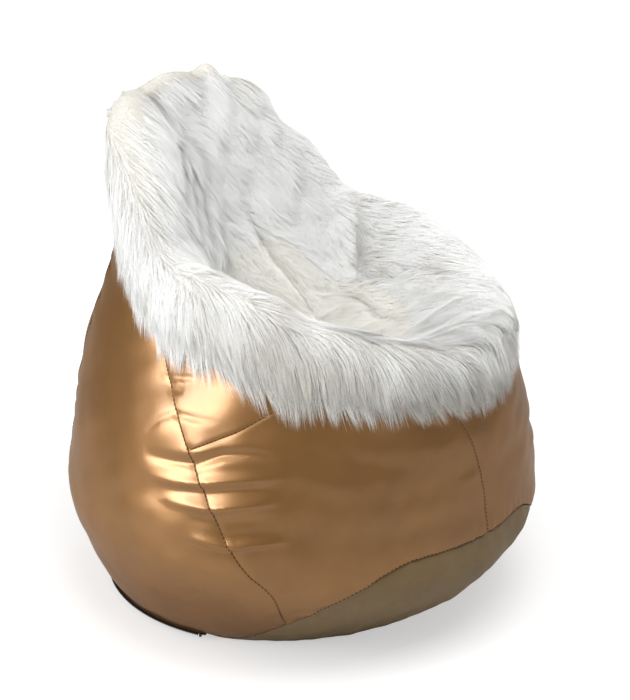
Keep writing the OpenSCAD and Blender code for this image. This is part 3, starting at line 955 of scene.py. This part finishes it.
def hair_lines(hair):
    """Points along each hair: it leaves its root at an angle, and bends over to lie along the fur."""
    phi, u, length = hair.phi, hair.u, hair.length
    degree = np.linalg.norm(on_skin(phi + 0.5, u) - on_skin(phi - 0.5, u), axis=-1)
    metres_per_degree = np.maximum(degree, 1e-4)
    above = np.minimum(u + 0.005, LAST_U)
    climb = on_skin(phi, above) - on_skin(phi, above - 0.01)
    metres_per_u = np.linalg.norm(climb, axis=-1) / 0.01
    turn = (hair.combed * hair.side).sum(-1) * length / metres_per_degree
    ahead = (hair.combed * hair.rise).sum(-1) * length / metres_per_u
    hug = FUR_HUG * ease((metres_per_degree * 57.3 - 0.06) / 0.06)
    lines = [hair.root]
    for s in HAIR_STEPS[1:]:
        height = np.sin(hair.lift) * (s - 0.45 * s * s) * length
        along = np.cos(hair.lift) * s + (1 - np.cos(hair.lift)) * 0.5 * s * s
        straight = hair.root + hair.combed * (along * length)[:, None]
        lying = fur_root(phi + turn * along, np.clip(u + ahead * along, 1.35, 2.99))
        step = lerp(straight, lying, hug[:, None]) + hair.out * height[:, None]
        step[:, 2] -= HAIR_DROOP * length * s * s
        lines.append(step)
    return np.stack(lines, 1)


def nearest(points, centres):
    """Number of the nearest centre to each point."""
    tree = kdtree.KDTree(len(centres))
    for i, centre in enumerate(centres):
        tree.insert(centre, i)
    tree.balance()
    return np.array([tree.find(point)[1] for point in points])


def make_pile(name, phi_range, u_range, length_of, materials, seed, density=1.0):
    """Long hairs as thin tapered ribbons, gathered in pointed locks."""
    draw = np.random.default_rng(seed)
    hair_places = scatter(phi_range, u_range, STRANDS_PER_M2 * density, draw)
    lock_places = scatter(phi_range, u_range, LOCKS_PER_M2, draw)
    hair = comb(*hair_places, draw, 0.07)
    lock = comb(*lock_places, draw, 0.12)
    near = nearest(hair.root, lock.root)
    hair.length = length_of(hair.phi, hair.u) * draw.uniform(0.75, 1.12, len(hair.phi))
    lock.length = length_of(lock.phi, lock.u) * draw.uniform(0.9, 1.15, len(lock.phi))
    hair.lift = lift_angles(hair, draw, 4)
    lock.lift = lift_angles(lock, draw, 5)
    lines = hair_lines(hair)
    edge = 1 - ease((hair.u - fur_seam(hair.phi)) / 0.15)
    pull = draw.uniform(0.1, lerp(0.55, 0.7, edge))[:, None, None]
    lines += (hair_lines(lock)[near] - lines) * (pull * np.array(HAIR_STEPS)[None, :, None] ** 1.3)
    lines[:, 0] -= hair.out * 0.003
    tone = hair_tone_and_shade(hair, near, len(lock.phi), draw)
    for first in range(0, len(lines), STRANDS_PER_PIECE):
        part = slice(first, first + STRANDS_PER_PIECE)
        number = first // STRANDS_PER_PIECE + 1
        ribbons(f"{name}_pile_{number}", lines[part], hair.out[part], tone[part], materials)


def hair_tone_and_shade(hair, near, locks, draw):
    """0 for the whitest hairs to 1 for the greyest: random patches and locks, with painted shade in the folds
    and low in front, and painted light on the back's top and towards the seat's middle.
    """
    phi, u, root = hair.phi, hair.u, hair.root
    patch = 0.15 * waves(root, 0.085, 71) + 0.09 * waves(root, 0.030, 72)
    lock = 0.24 * draw.random(locks)[near] ** 2
    # painted shade: hairs greyer the deeper the fold that their root sits in
    painted_fold_shade = 0.45 * np.clip(-creases(root, FUR_FOLDS) / 0.02, 0, 1)
    # painted shade: hairs greyer low on the front roll, where shade falls
    painted_front_shade = 0.68 * ease((2.04 - u) / 0.25) * ease((cosine(phi + 5) + 0.1) / 0.8)
    # painted light: hairs whiter on top of the back, to look better lit
    behind = 0.20 * ease((-cosine(phi) - 0.1) / 0.4) * ease((u - 1.98) / 0.15)
    # painted light: hairs whiter towards the seat's middle, against its shade
    painted_seat_light = 0.14 * ease((u - 2.5) / 0.2)
    alone = 0.30 * draw.random(len(root)) ** 2
    return np.clip(patch + lock + painted_fold_shade + painted_front_shade - behind - painted_seat_light + alone, 0, 0.999)


def ribbons(name, hairs, out, tone, materials):
    """Tapered ribbons, lit as the fur's surface is, each a shade greyer at its root as painted shade deep in
    the pile.
    """
    n = len(hairs)
    along = unit(hairs[:, -1] - hairs[:, 0])
    across = unit(np.cross(out, along)) * HAIR_WIDTH / 2
    points = np.empty((n, 7, 3), np.float32)
    for k, width in enumerate((0.8, 1.0, 0.75)):
        points[:, 2 * k] = hairs[:, k] - across * width
        points[:, 2 * k + 1] = hairs[:, k] + across * width
    points[:, 6] = hairs[:, 3]
    start = 7 * np.arange(n)[:, None]
    loops = np.concatenate([start + np.array([0, 2, 3, 1]), start + np.array([2, 4, 5, 3]),
                            start + np.array([4, 6, 5])], 1).astype(np.int32)
    mesh = bpy.data.meshes.new(name)
    mesh.vertices.add(7 * n)
    mesh.vertices.foreach_set("co", points.ravel())
    mesh.loops.add(11 * n)
    mesh.loops.foreach_set("vertex_index", loops.ravel())
    mesh.polygons.add(3 * n)
    starts = (11 * np.arange(n)[:, None] + np.array([0, 4, 8])).astype(np.int32)
    mesh.polygons.foreach_set("loop_start", starts.ravel())
    for material in materials:
        mesh.materials.append(material)
    shade = (tone * (len(materials) - 1)).astype(int)
    # the root face takes the next greyer material: painted shade deep in the pile
    index = np.stack([shade + 1, shade, shade], 1).astype(np.int32)
    mesh.polygons.foreach_set("material_index", index.ravel())
    mesh.update(calc_edges=True)
    mesh.shade_smooth()
    normals = np.repeat(out[:, None], 7, axis=1)
    mesh.normals_split_custom_set_from_vertices(normals.reshape(-1, 3).astype(np.float32))
    add_piece(mesh)


def fur_cloth(name, phi_range, u_range, material, wrap=False):
    """The knitted backing and short undercoat that the long hairs grow through."""
    rows, cols = 90, int(abs(phi_range[1] - phi_range[0]) * 1.4)
    phi = np.linspace(*phi_range, cols, endpoint=not wrap)[None, :]
    k = np.linspace(0, 1, rows)[:, None]
    u = lerp(u_range[0](phi), u_range[1](phi), k)
    phi = phi + 0 * u
    outer = fur_root(phi, u)
    inner = skin(phi, u, -0.002) + (outer - skin(phi, u, 0.0)) * 0.2
    piece = shell(name + "_cloth", outer, inner, material, wrap)
    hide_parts(name)


def rim_length(phi, u):
    """Hairs are longest at the lower edge and the rim, shorter towards the seat."""
    edge = 1 - ease((u - fur_seam(phi)) / 0.25)
    turned = (phi + 180) % 360 - 180
    spare = 0.009 + 0.022 * np.exp(-(((turned + 56) / 17) ** 2)) - 0.012 * ease((turned + 15) / 50)
    return lerp(0.050, 0.034, ease((u - 2.2) / 0.4)) + spare * edge


def seat_length(phi, u):
    return 0.024 + 0 * u


FUR_PARTS = {
    "fur_front_roll": (-FUR_FRONT_SEAM, FUR_FRONT_SEAM),
    "fur_left_arm": (-FUR_BACK_SEAM, -FUR_FRONT_SEAM),
    "fur_right_arm": (FUR_FRONT_SEAM, FUR_BACK_SEAM),
    "fur_back": (FUR_BACK_SEAM, 360 - FUR_BACK_SEAM),
}


def make_fur():
    white = hair_materials("fur_tone", FUR_TONES_AND_SHADES)
    cream = hair_materials("seat_fur_tone", SEAT_TONES_AND_SHADES)
    # the undercoat's darker beige is partly its own tone and partly painted shade for the hollows between the
    # hairs
    under = underfur_material("fur_undercoat", (0.60, 0.56, 0.47), (0.82, 0.80, 0.75))
    under_seat = underfur_material("seat_fur_undercoat", (0.72, 0.69, 0.62), (0.86, 0.84, 0.79))
    top = lambda p: SEAT_EDGE + 0 * p
    for seed, (name, span) in enumerate(FUR_PARTS.items()):
        fur_cloth(name, span, (fur_seam, top), under)
        make_pile(name, span, (fur_seam, top), rim_length, white, 100 + seed)
    centre = lambda p: SEAT_MIDDLE + 0 * p
    fur_cloth("fur_seat", (0, 360), (top, centre), under_seat, wrap=True)
    make_pile("fur_seat", (0, 360), (top, centre), seat_length, cream, 110, 1.1)


# ---- zip ----

ZIP_Z = 0.011
ZIP_FROM = 98.0
ZIP_SWEEP = 194.0
TAPE_T = 0.0008
TAPE_SLOT = 0.0004
TAPE_BELLY = 0.0004
TAPE_UNDER = 0.016
TAPE_IN = 0.0017
ZIP_PLACE = 0.19
TOOTH_PITCH = 0.0015
TOOTH_WIDTH = 0.0011
TOOTH_OUT = 0.0030
TOOTH_TALL = 0.0021
TOOTH_OVER = 0.0006


def zip_radius():
    """Radius of the zip's own arc, just outside the skin behind."""
    p = on_skin(180, ZIP_PLACE)
    return p[1] - FLOOR_CENTRE[1] * (1 - ease(ZIP_PLACE)) + 0.0009


def on_zip(phi, away, z):
    """Point of the zip's arc at angle phi, away from its tape face, z above or below the teeth's middle."""
    a = np.radians(phi)
    slide = 1 - ease(BASE_EDGE)
    r = zip_radius() + away
    x = FLOOR_CENTRE[0] * slide + r * np.sin(a)
    y = FLOOR_CENTRE[1] * slide - r * np.cos(a)
    return np.stack([x, y, ZIP_Z + z + 0 * a], -1)


def zip_tape(node, side, material):
    """Woven tape from the teeth to under the cover's edge; side is 1 above the teeth and -1 below."""
    phi = np.linspace(ZIP_FROM - 3, ZIP_FROM - 3 + ZIP_SWEEP + 4, 480)
    edge = skin(phi, base_seam(phi) + side * TAPE_UNDER, -TAPE_IN)
    foot = on_zip(phi, 0.0, side * TAPE_SLOT)
    share = np.linspace(0, 1, 9)[:, None, None]
    out = unit(foot - np.array([*FLOOR_CENTRE, ZIP_Z]))
    outer = lerp(foot, edge, share) + out * np.sin(math.pi * share) * TAPE_BELLY
    if side < 0:
        outer = outer[::-1]
    piece = shell(node + "_cloth", outer, outer - out * TAPE_T, material)
    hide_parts(node)


def zip_teeth(material):
    """Two rows of teeth that mesh in turn, each gripping its own tape."""
    step = math.degrees(TOOTH_PITCH / zip_radius())
    start = np.arange(ZIP_FROM - 1.0, ZIP_FROM - 1.4 + ZIP_SWEEP, step)
    wide = math.degrees(TOOTH_WIDTH / zip_radius()) / 2
    points, faces = [], []
    for k, phi in enumerate(start):
        side = 1 if k % 2 else -1
        low, high = sorted((-side * TOOTH_OVER, side * TOOTH_TALL))
        points += [on_zip(phi + a, r, z)
                   for z in (low, high) for r in (0.0001, TOOTH_OUT) for a in (-wide, wide)]
        b = 8 * k
        faces += [(b, b + 2, b + 3, b + 1), (b + 4, b + 5, b + 7, b + 6), (b, b + 1, b + 5, b + 4),
                  (b + 2, b + 6, b + 7, b + 3), (b, b + 4, b + 6, b + 2), (b + 1, b + 3, b + 7, b + 5)]
    piece = add_mesh("zip_teeth_rows", points, faces, material, smooth=False)
    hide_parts("zip_teeth")


# ---- the inside ----

LINER_IN = 0.011
LINER_T = 0.0012
LINER_SPLIT = 0.3
FILL_IN = 0.020


def repaint(node, material):
    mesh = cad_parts[node].data
    mesh.materials.clear()
    mesh.materials.append(material)


def inner_grid(u_from, u_to, rows, depth, ripple):
    """Grid round the whole body at that depth under the cover, with the seat's folds, and its outward way."""
    phi = np.linspace(0, 360, 240, endpoint=False)[None, :]
    u = np.linspace(u_from, u_to, rows)[:, None] + 0 * phi
    phi = phi + 0 * u
    plain = on_skin(phi, u)
    out = axes(on_skin, phi, u)[2]
    relief = np.minimum(creases(plain, FUR_FOLDS), 0) + ripple * waves(plain, 0.07, 61)
    return plain + out * (relief - depth)[..., None], out


def inner_bag(name, node, u_from, u_to, rows, material, floor=False):
    outer, out = inner_grid(u_from, u_to, rows, LINER_IN, 0.0012)
    inner = outer - out * LINER_T
    if floor:
        outer[0, :, 2] = LINER_IN
        inner[0, :, 2] = LINER_IN + LINER_T
        outer = np.concatenate([foot_disc(outer[:1], LINER_IN), outer])
        inner = np.concatenate([foot_disc(inner[:1], LINER_IN + LINER_T), inner])
    piece = shell(name, outer, inner, material, wrap=True)
    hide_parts(node)


def fill_piece(material):
    """The heap of beads, pressed into the shape of the cover."""
    top, _ = inner_grid(0.0, SEAT_MIDDLE, 260, FILL_IN, 0.0016)
    top[0, :, 2] = FILL_IN
    rows = np.concatenate([foot_disc(top[:1], FILL_IN), top])
    n, cols = rows.shape[:2]
    last = n * cols
    ring = np.arange(cols)
    quads = grid_faces(n, cols, 0, True).tolist()
    low = [[(j + 1) % cols, j, last] for j in ring]
    high = [[(n - 1) * cols + j, (n - 1) * cols + (j + 1) % cols, last + 1] for j in ring]
    points = np.concatenate([rows.reshape(-1, 3), rows[0].mean(0)[None], rows[-1].mean(0)[None]])
    piece = add_mesh("bead_fill_heap", points, quads + low + high, material)
    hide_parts("bead_fill")


def bead_material():
    """Packed expanded-polystyrene beads: round cells, each a little lighter or darker."""
    material, tree, shader = new_material("polystyrene_beads")
    at = places(tree)
    cells = add_node(tree, "ShaderNodeTexVoronoi", {"Vector": at, "Scale": 1 / 0.006})
    tone = add_node(tree, "ShaderNodeSeparateColor", {"Color": cells.outputs["Color"]}).outputs["Red"]
    colour = ramp(tree, tone, 0, 1, [(0.74, 0.74, 0.73), (0.86, 0.86, 0.85)])
    tree.links.new(colour, shader.inputs["Base Color"])
    round_top = remap(tree, cells.outputs["Distance"], 0, 0.6, 1, 0)
    bump(tree, shader, [(round_top, 0.002, 0.9)])
    set_values(shader, roughness=0.6)
    return material


def make_zip_and_inside():
    brass = metal_material("zip_dark_brass", (0.10, 0.07, 0.035), (0.19, 0.13, 0.06))
    tape = cloth_material("zip_tape_brown", (0.034, 0.020, 0.012), (0.06, 0.036, 0.021))
    liner = cloth_material("liner_cotton", (0.55, 0.55, 0.54), (0.66, 0.66, 0.64))
    strips = cloth_material("fastener_tape_cream", (0.6, 0.58, 0.5), (0.7, 0.68, 0.6))
    for node in ("zip_stops", "zip_slider", "zip_pull"):
        repaint(node, brass)
    zip_tape("zip_tape_lower", -1, tape)
    zip_tape("zip_tape_upper", 1, tape)
    zip_teeth(brass)
    for node in ("liner_hook_strip", "liner_loop_strip"):
        repaint(node, strips)
    inner_bag("liner_wall_cloth", "liner_wall", LINER_SPLIT, SEAT_MIDDLE, 150, liner)
    inner_bag("liner_base_cloth", "liner_base", 0, LINER_SPLIT - 0.005, 14, liner, floor=True)
    fill_piece(bead_material())


make_camera()
make_studio()
make_wall(leather_material())
make_base(base_material())
make_fur()
make_zip_and_inside()
